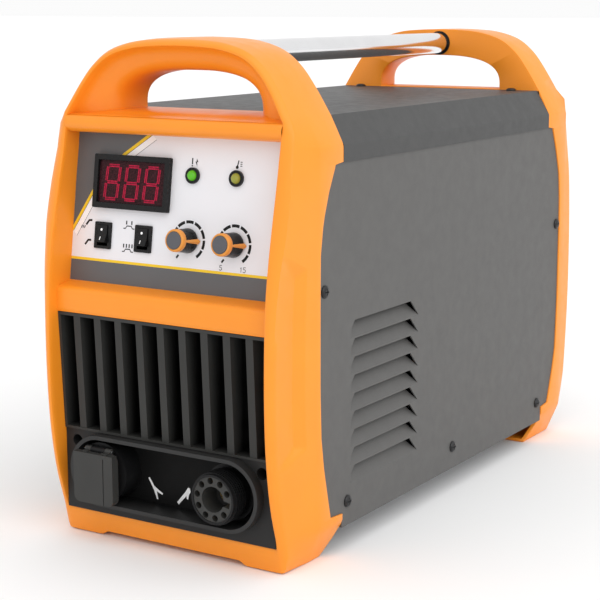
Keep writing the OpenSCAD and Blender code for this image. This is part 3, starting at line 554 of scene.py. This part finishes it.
build_end_frame(FRONT, "front_frame_shell", "front_frame", 21.7, -205)
build_end_frame(REAR, "rear_frame_shell", "rear_frame", 24.5, 205)

# Ledge over the control panel, and the bar between the panel and the grille
FRONT_LEDGE = spline([
    (-222, 329.6), (-236, 330.6), (-242, 332.0), (-245.2, 335), (-246.0, 338.4), (-245.2, 341.8),
    (-243.2, 344.2), (-240.5, 345.1), (-236, 345.6),
], 3)
MID_BAR = spline([(-236, 212.6), (-246, 210.9), (-255, 209.2), (-259.6, 208.0), (-261.7, 206.0),
                  (-262.2, 203.5)], 3)
MID_BAR += [(-262.3, 200), (-262.2, 192)] + spline([(-262, 189.8), (-261.3, 188.2), (-259.5, 187.5),
                                                    (-240, 187.4)], 3)
build_bar("front_ledge", FRONT_LEDGE, 103.4)
build_bar("mid_bar", MID_BAR, 103.4)
REAR_LEDGE = spline([
    (240, 326.6), (250, 327), (254.5, 328.5), (256.3, 331.5), (256.5, 335), (255.6, 339),
    (253.6, 342.6), (250.5, 344.6), (245, 345.4),
], 3)
build_bar("rear_ledge", REAR_LEDGE, 106)

# ---------------------------------------------------------------- finishes of the CAD nodes

FINISHES = {
    "top_cover": ROOF_PAINT, "left_side_panel": SIDE_PAINT, "right_side_panel": SIDE_PAINT,
    "base_plate": ZINC, "rear_panel": BLACK_PAINT, "handle_tube": CHROME, "handle_bushes": BLACK,
    "side_screws": BLACK_STEEL, "cover_screws": BLACK_STEEL, "panel_plate": ZINC,
    "meter_bezel": BLACK_GLOSS, "lamp_bezels": BLACK_GLOSS, "switch_housings": BLACK_GLOSS,
    "gas_test_rocker": BLACK_GLOSS, "mode_rocker": BLACK_GLOSS, "current_shaft": STEEL,
    "post_gas_shaft": STEEL, "potentiometers": STEEL, "control_board": BOARD, "front_grille": FINS,
    "connector_housing": HOUSING, "housing_screws": BLACK_STEEL, "work_socket": BLACK,
    "work_contact": BRASS, "work_cover": COVER, "work_hinge_pin": STEEL, "torch_connector": BLACK,
    "torch_insert": COVER, "torch_pins": BRASS, "torch_nut": BLACK, "fan_housing": BLACK,
    "fan_rotor": BLACK, "fan_guard": STEEL, "mains_switch": BLACK, "mains_knob": RED_PLASTIC,
    "cable_gland": BLACK, "earth_stud": BRASS, "gas_inlet": BRASS, "gas_valve": BRASS,
    "valve_plunger": STEEL, "gas_hose": HOSE, "shelf_plate": ZINC, "heat_sinks": BARE_ALUMINIUM,
    "power_modules": BLACK, "main_board": BOARD, "bus_capacitors": BLUE_SLEEVE,
    "main_transformer": FERRITE, "output_inductor": FERRITE, "hf_coil": COPPER, "work_lead": HOSE,
    "torch_lead": HOSE,
}


def paint(node, material):
    mesh = NODES[node].data
    mesh.materials.clear()
    mesh.materials.append(material)


for node, material in FINISHES.items():
    paint(node, material)

OVERLAY = finish_material("overlay_film", (0.78, 0.78, 0.81), 0.40, grain_mm=0.5, grain=0.05,
                          mottle=0.01, specular=0.2)
WINDOW = finish_material("red_window", (0.034, 0.009, 0.012), 0.30, grain=0.0, mottle=0.8, mottle_mm=1.1,
                         specular=0.10)
DISPLAY = finish_material("red_display", (0.30, 0.01, 0.012), 0.5)
GREEN_LENS = finish_material("green_lens", (0.09, 0.42, 0.015), 0.22, grain=0.0, specular=0.35,
                             emission=0.10)
YELLOW_LENS = finish_material("yellow_lens", (0.30, 0.31, 0.045), 0.22, grain=0.0, specular=0.35)
for node, material in {
    "panel_overlay": OVERLAY, "meter_window": WINDOW, "meter_module": DISPLAY, "ready_lamp": GREEN_LENS,
    "fault_lamp": YELLOW_LENS,
}.items():
    paint(node, material)


def round_edges(node, width_mm, segments=2):
    """Breaks the sharp edges of a CAD node, as moulding and pressing do."""
    edge = NODES[node].modifiers.new("edge", "BEVEL")
    edge.width = width_mm * MM
    edge.segments = segments
    edge.limit_method = "ANGLE"
    edge.angle_limit = math.radians(35)
    edge.harden_normals = True


for node, width in {
    "top_cover": 0.8, "left_side_panel": 0.25, "right_side_panel": 0.25, "meter_bezel": 0.7,
    "switch_housings": 0.5, "gas_test_rocker": 0.4, "mode_rocker": 0.4, "front_grille": 0.3,
    "connector_housing": 0.6, "work_socket": 0.5, "work_cover": 0.6, "torch_connector": 0.25,
    "torch_insert": 0.4, "handle_tube": 0.3, "handle_bushes": 0.3, "lamp_bezels": 0.5,
    "mains_switch": 0.6, "mains_knob": 1.0, "cable_gland": 0.4, "side_screws": 0.15,
    "cover_screws": 0.15, "fan_housing": 0.5, "rear_panel": 0.3, "earth_stud": 0.2, "gas_inlet": 0.2,
}.items():
    round_edges(node, width)

# ---------------------------------------------------------------- prints and knobs

PRINT_BLACK = finish_material("print_black", (0.008, 0.008, 0.008), 0.45, grain=0.02, mottle_mm=3,
                              specular=0.2)
PRINT_GREY = finish_material("print_grey", (0.120, 0.122, 0.126), 0.42, grain_mm=0.5, grain=0.04,
                             mottle=0.02, specular=0.2)
PRINT_YELLOW = finish_material("print_yellow", (0.84, 0.56, 0.030), 0.42, grain=0.03, mottle=0.03,
                               mottle_mm=5, specular=0.2)
PRINT_WHITE = finish_material("print_white", (0.90, 0.90, 0.90), 0.45, grain=0.02, mottle=0.02,
                              mottle_mm=3, specular=0.2)
SEGMENT = finish_material("segment_red", (0.36, 0.010, 0.040), 0.45, grain=0.05, mottle=0.5,
                          mottle_mm=0.9, specular=0.1, emission=0.10)
KNOB_ORANGE = finish_material("knob_orange", (0.72, 0.29, 0.05), 0.34, grain=0.06, mottle=0.04,
                              mottle_mm=5, specular=0.35)
KNOB_CAP = finish_material("knob_cap", (0.098, 0.098, 0.108), 0.40, grain=0.08, mottle=0.03, mottle_mm=4,
                           specular=0.25)

PANEL_Y, PANEL_Z, PANEL_TILT = -241.5, 235.0, math.radians(8)
POCKET_Y = -240.0


def on_panel(x, z, out=0.0):
    """The point at x and at height z along the leaning panel, out millimetres in front of it."""
    rise = z - PANEL_Z
    return (x, PANEL_Y - out * math.cos(PANEL_TILT) + rise * math.sin(PANEL_TILT),
            PANEL_Z + out * math.sin(PANEL_TILT) + rise * math.cos(PANEL_TILT))


def on_pocket(x, z, out=0.0):
    """A point in front of the floor of the connector pocket."""
    return x, POCKET_Y - out, z


def stroke(line, width):
    """The outline of a line drawn with a flat pen."""
    left, right = [], []
    for i, (x, z) in enumerate(line):
        (ax, az), (bx, bz) = line[max(i - 1, 0)], line[min(i + 1, len(line) - 1)]
        tx, tz = unit(bx - ax, bz - az)
        left.append((x - tz * width / 2, z + tx * width / 2))
        right.append((x + tz * width / 2, z - tx * width / 2))
    return left + right[::-1]


def arc(x, z, radius, start, end, steps=6):
    """Points of an arc, in degrees anticlockwise from the right."""
    angles = [math.radians(start + (end - start) * k / steps) for k in range(steps + 1)]
    return [(x + radius * math.cos(a), z + radius * math.sin(a)) for a in angles]


def disc(x, z, radius):
    return arc(x, z, radius, 0, 345, 23)


def moved(line, x, z, size=1.0):
    return [(x + size * px, z + size * pz) for px, pz in line]


def print_on(name, outlines, material, place, height=0.06, body=CASING):
    """Flat prints in one ink, each a closed outline in millimetres."""
    ink = Patchwork()
    for outline in outlines:
        ink.cap([place(x, z, height) for x, z in outline])
    return add_mesh(name, ink.points, ink.faces, material, body=body, mend=0.0)


# The grey corner with its yellow and white edges, behind the meter
CORNER_EDGE = [
    (-104.5, 252.5), (-95, 268.6), (-86, 284), (-72, 301.5), (-55.9, 315.6), (-34, 330.5), (-30, 333.2),
]
GREY_BAND = [(-105, 208), (105, 208), (105, 227.8), (-105, 227.8)]
YELLOW_LINE = [(-105, 227.8), (105, 227.8), (105, 229.9), (-105, 229.9)]


def shifted_edge(distance):
    """The corner's edge moved down and to the right."""
    return [(x + distance * 0.72, z - distance * 0.70) for x, z in CORNER_EDGE]


def between_edges(near, far):
    return shifted_edge(near) + shifted_edge(far)[::-1]


print_on("print_grey_fields", [CORNER_EDGE + [(-105, 333.2)], GREY_BAND], PRINT_GREY, on_panel, 0.05)
print_on("print_yellow_lines", [between_edges(0, 2.6), YELLOW_LINE], PRINT_YELLOW, on_panel, 0.05)
print_on("print_white_edge", [between_edges(3.0, 8.0)], PRINT_WHITE, on_panel, 0.05)

# Dial scales: a dash for each step and a short tick where the scale begins
KNOBS = {"current_knob": (13.0, 251.0), "post_gas_knob": (56.0, 251.0)}
ROCKERS = {"gas_test_rocker": (-71.0, 249.0), "mode_rocker": (-30.5, 249.0)}
LAMPS = [(13.5, 301.5), (54.5, 301.5)]
SCALE_RADIUS, DASH_WIDTH = 14.7, 2.35
DASHES, FIRST_DASH, DASH_STEP, DASH_SPAN = 8, -55, 32.5, 27.5
black = [between_edges(2.6, 3.0), between_edges(8.0, 8.3)]
for x, z in KNOBS.values():
    for k in range(DASHES):
        start = FIRST_DASH + DASH_STEP * k
        black.append(stroke(arc(x, z, SCALE_RADIUS, start, start + DASH_SPAN), DASH_WIDTH))
    black.append(stroke([(x - 8.6, z - 11.6), (x - 10.6, z - 14.2)], 1.6))

# Numbers of the second scale, in an upright hand five units wide and seven high
DIGITS = {"1": [[(0.8, 5.2), (2.4, 7), (2.4, 0)]],
          "5": [[(4.2, 7), (0.9, 7), (0.6, 4), (2.6, 4.5), (4.3, 3.2), (4.1, 1.1), (2.4, 0), (0.3, 0.8)]]}


NUMBER_PITCH, NUMBER_LINE = 5.4, 0.9


def number(text, x, z, size):
    """The strokes of a number that starts at (x, z)."""
    return [
        stroke(moved(line, x + NUMBER_PITCH * size * k, z, size), NUMBER_LINE * size)
        for k, figure in enumerate(text)
        for line in DIGITS[figure]
    ]


black += number("5", 43.6, 230.8, 0.55) + number("15", 62.6, 230.8, 0.55)

# Small signs by the lamps: a bar with a bolt, and a thermometer
lamp_x, lamp_z = LAMPS[0]
black += [stroke([(lamp_x - 1.6, lamp_z + 13.5), (lamp_x - 1.6, lamp_z + 8.8)], 1.1),
          disc(lamp_x - 1.6, lamp_z + 7.6, 0.6),
          [(lamp_x + 2.4, lamp_z + 13.5), (lamp_x + 3.8, lamp_z + 10.6), (lamp_x + 2.7, lamp_z + 10.6),
           (lamp_x + 3.2, lamp_z + 7.2), (lamp_x + 1.2, lamp_z + 10.9), (lamp_x + 2.2, lamp_z + 10.9)]]
lamp_x, lamp_z = LAMPS[1]
black += [stroke([(lamp_x - 0.4, lamp_z + 9.3), (lamp_x + 0.6, lamp_z + 13.8)], 1.0),
          disc(lamp_x - 0.6, lamp_z + 8.6, 1.3)]
for k in range(3):
    mark_z = lamp_z + 9.6 + 1.5 * k
    black.append(stroke([(lamp_x + 2.2, mark_z), (lamp_x + 4.0, mark_z)], 0.6))

# Signs by the rockers: a gas jet on and off, and a short and a long cutting cycle
rocker_x, rocker_z = ROCKERS["gas_test_rocker"]
for rise, jets in ((8.5, 3), (-7.5, 0)):
    hook = [(-18.6, -1.2), (-15.6, 2.6), (-12.6, 2.8)]
    black.append(stroke(moved(hook, rocker_x, rocker_z + rise), 1.7))
    for k in range(jets):
        jet = [(-19.4 - 1.6 * k, -1.8), (-20.4 - 1.6 * k, -4.0)]
        black.append(stroke(moved(jet, rocker_x, rocker_z + rise), 0.8))
rocker_x, rocker_z = ROCKERS["mode_rocker"]
for rise, ticks in ((7.0, (-2.6, 2.6)), (-11.4, (-4.2, -1.4, 1.4, 4.2))):
    hump = [(-5, 0), (-3, 0.2), (-2, 1.9), (2, 1.9), (3, 0.2), (5, 0)]
    black.append(stroke(moved(hump, rocker_x - 15.4, rocker_z + rise, 1.1), 0.85))
    black += [stroke(moved([(t, 3.2), (t, 6.2)], rocker_x - 15.4, rocker_z + rise), 1.2) for t in ticks]
print_on("print_black_signs", black, PRINT_BLACK, on_panel, 0.09)

# White signs of the two connectors: a spring clamp and a torch head
CLAMP = [
    (-6.5, 7.4), (-5.2, 8.0), (-1.0, 1.8), (6.8, -2.6), (6.2, -3.8), (1.2, -1.9), (2.4, -7.6),
    (1.2, -8.0), (-1.6, -1.0),
]
TORCH = [
    (-6.8, -7.0), (-5.0, -8.6), (2.6, -0.4), (2.9, -2.6), (4.2, -3.2), (5.2, 0.9), (6.8, 3.6),
    (6.2, 6.6), (4.4, 6.9), (1.8, 3.0),
]
print_on("print_white_signs", [moved(CLAMP, -23.3, 45.0, 1.1), moved(TORCH, 5.0, 44.3, 1.0)],
         PRINT_WHITE, on_pocket)

# The meter's digits: every segment is a pair of thin lines just in front of the tinted window
DIGIT_WIDTH, DIGIT_HEIGHT, DIGIT_SLANT, DIGIT_PITCH = 12.4, 26.5, 0.09, 19.5
DIGIT_OUT, PAIR_SHIFT, PAIR_LINE = 2.7, 0.75, 1.0


def digit(x, z):
    def at(u, v):
        rise = DIGIT_HEIGHT * (v - 0.5)
        return x + DIGIT_WIDTH * (u - 0.5) + DIGIT_SLANT * rise, z + rise

    bars = [((0.08, 1), (0.92, 1)), ((0.08, 0.5), (0.92, 0.5)), ((0.08, 0), (0.92, 0)),
            ((0, 0.96), (0, 0.54)), ((0, 0.46), (0, 0.04)), ((1, 0.96), (1, 0.54)), ((1, 0.46), (1, 0.04))]
    pairs = []
    for a, b in bars:
        (ax, az), (bx, bz) = at(*a), at(*b)
        tx, tz = unit(bx - ax, bz - az)
        for shift in (-PAIR_SHIFT, PAIR_SHIFT):
            line = [(ax - tz * shift, az + tx * shift), (bx - tz * shift, bz + tx * shift)]
            pairs.append(stroke(line, PAIR_LINE))
    return pairs


METER_X, METER_Z = -44.0, 292.0
segments = [bar for k in (-1, 0, 1) for bar in digit(METER_X + DIGIT_PITCH * k, METER_Z)]
print_on("meter_digits", segments, SEGMENT, on_panel, DIGIT_OUT)


def lathe(rings, place, turns=40):
    """Rows of points round an axis out of the panel; rings are (radius, out)."""
    angles = [2 * math.pi * k / turns for k in range(turns)]
    return [
        [place(radius * math.cos(a), radius * math.sin(a), out) for a in angles]
        for radius, out in rings
    ]


def solid_of_turning(name, rings, place, material, body):
    shape = Patchwork()
    shape.add(lathe(rings, place), closed_columns=True)
    return add_mesh(name, shape.points, shape.faces, material, body=body, sharp=40)


def knob_rib(place, length, reach):
    """The pointer rib: it runs along the knob's right side and ends in a point over the panel."""
    sections = [(length, reach, 1.7), (length * 0.75, reach + 0.6, 2.2), (length * 0.4, reach + 1.4, 2.35),
                (2.4, reach + 2.4, 2.35), (1.0, reach + 3.1, 2.2)]
    rows = []
    for out, tip, half in sections:
        upper = [(reach - 6, half), (tip - 2.4, half), (tip - 0.7, half * 0.5)]
        outline = upper + [(tip, 0)] + [(x, -z) for x, z in upper[::-1]]
        rows.append([place(x, z, out) for x, z in outline])
    return rows


# Turned outlines of a knob's parts, as (radius, distance out of the panel)
SKIRT_RINGS = [(4, 1.0), (9.4, 1.0), (9.8, 1.4), (9.7, 3.0), (9.3, 6.0), (8.85, 14.6), (7.4, 15.0),
               (4, 15.0)]
COLLAR_RINGS = [(7.0, 14.6), (8.6, 14.4), (8.9, 15.0), (8.8, 18.2), (8.3, 19.0), (7.7, 19.4),
                (7.1, 19.3), (6.9, 18.6), (5, 18.4)]
CAP_RINGS = [(6.9, 17.5), (6.9, 19.3), (6.6, 19.75), (5.8, 19.95), (3, 20.0), (0, 20.0)]
RIB_LENGTH, RIB_REACH = 17.6, 8.9

for node, (knob_x, knob_z) in KNOBS.items():
    def place(x, z, out, knob_x=knob_x, knob_z=knob_z):
        return on_panel(knob_x + x, knob_z + z, out)

    skirt = solid_of_turning(node + "_skirt", SKIRT_RINGS, place, BLACK_GLOSS, node)
    collar = solid_of_turning(node + "_collar", COLLAR_RINGS, place, KNOB_ORANGE, node)
    cap = solid_of_turning(node + "_cap", CAP_RINGS, place, KNOB_CAP, node)
    rib = Patchwork()
    rib.add(knob_rib(place, RIB_LENGTH, RIB_REACH))
    rib.cap(rib.points[-7:])
    pointer = add_mesh(node + "_pointer", rib.points, rib.faces, KNOB_ORANGE, body=node, sharp=35)
    for piece in (skirt, collar, cap, pointer):
        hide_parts(node)

# Marks on the rockers: a dot above and a bar below
ROCKER_PIVOT, ROCKER_TIP = 2.5, math.radians(12)
# A rocker's face stands out least at its waist and rises to its ends
ROCKER_WAIST, ROCKER_RISE, ROCKER_HALF, MARK_OUT = 5.2, 1.2, 7, 0.06


def on_rocker(rocker_x, rocker_z, x, z, out):
    """A point of a rocker's face, which tips about a line behind the panel's face."""
    local_y, local_z = -out, z
    y = local_y * math.cos(ROCKER_TIP) + local_z * math.sin(ROCKER_TIP)
    rise = -local_y * math.sin(ROCKER_TIP) + local_z * math.cos(ROCKER_TIP)
    return on_panel(rocker_x + x, rocker_z + rise, -ROCKER_PIVOT - y)


for node, (rocker_x, rocker_z) in ROCKERS.items():
    marks = Patchwork()
    for outline in (disc(-0.6, 3.4, 1.05), stroke([(-0.6, -2.4), (-0.6, -5.2)], 0.8)):
        marks.cap([
            on_rocker(rocker_x, rocker_z, x, z,
                      ROCKER_WAIST + ROCKER_RISE * abs(z) / ROCKER_HALF + MARK_OUT)
            for x, z in outline
        ])
    add_mesh(node + "_marks", marks.points, marks.faces, PRINT_WHITE, body=node, mend=0.0)

# ---------------------------------------------------------------- stage

# How far the floor goes out and how far it lies under the feet, in metres
FLOOR_REACH, FLOOR_DROP = 40.0, 0.0002


def build_floor():
    mesh = bpy.data.meshes.new("floor")
    corners = [(FLOOR_REACH * x, FLOOR_REACH * y, 0) for x, y in ((-1, -1), (1, -1), (1, 1), (-1, 1))]
    mesh.from_pydata(corners, [], [(0, 1, 2, 3)])
    mesh.materials.append(
        finish_material("floor_pale", (0.90, 0.90, 0.90), 0.8, mottle=0.003, mottle_mm=400, grain=0.0,
                        specular=0.1))
    floor = bpy.data.objects.new("floor", mesh)
    floor.location.z = -FLOOR_DROP
    bpy.context.scene.collection.objects.link(floor)


def add_light(name, kind, place, aim, power):
    """A lamp at place that shines at aim."""
    data = bpy.data.lights.new(name, kind)
    data.energy = power
    lamp = bpy.data.objects.new(name, data)
    lamp.location = place
    lamp.rotation_mode = "QUATERNION"
    lamp.rotation_quaternion = (Vector(aim) - Vector(place)).to_track_quat("-Z", "Y")
    bpy.context.scene.collection.objects.link(lamp)
    return data


build_floor()
overhead = add_light("overhead", "SUN", (2.2, -0.7, 3.0), (0, 0, 0), 0.98)
overhead.angle = math.radians(80)
side_key = add_light("side_key", "AREA", (2.6, -0.9, 1.5), (0, 0, 0.2), 9)
side_key.shape = "DISK"
side_key.size = 2.2

world = bpy.data.worlds.new("studio")
world.use_nodes = True
world.node_tree.nodes["Background"].inputs["Color"].default_value = (1, 1, 1, 1)
world.node_tree.nodes["Background"].inputs["Strength"].default_value = 0.97
bpy.context.scene.world = world
bpy.context.scene.view_settings.view_transform = "Standard"

CAMERA_PLACE = (0.7307, -1.2147, 0.4317)
CAMERA_AHEAD = Vector((-0.5245, 0.8311, -0.1853)).normalized()
CAMERA_ROLL = math.radians(-0.125)
camera_data = bpy.data.cameras.new("camera")
camera_data.lens = 94.46
camera_data.sensor_width = 36
camera = bpy.data.objects.new("camera", camera_data)
turn = CAMERA_AHEAD.to_track_quat("-Z", "Y").to_matrix().to_4x4() @ Matrix.Rotation(CAMERA_ROLL, 4, "Z")
camera.matrix_world = Matrix.Translation(CAMERA_PLACE) @ turn
bpy.context.scene.collection.objects.link(camera)
bpy.context.scene.camera = camera
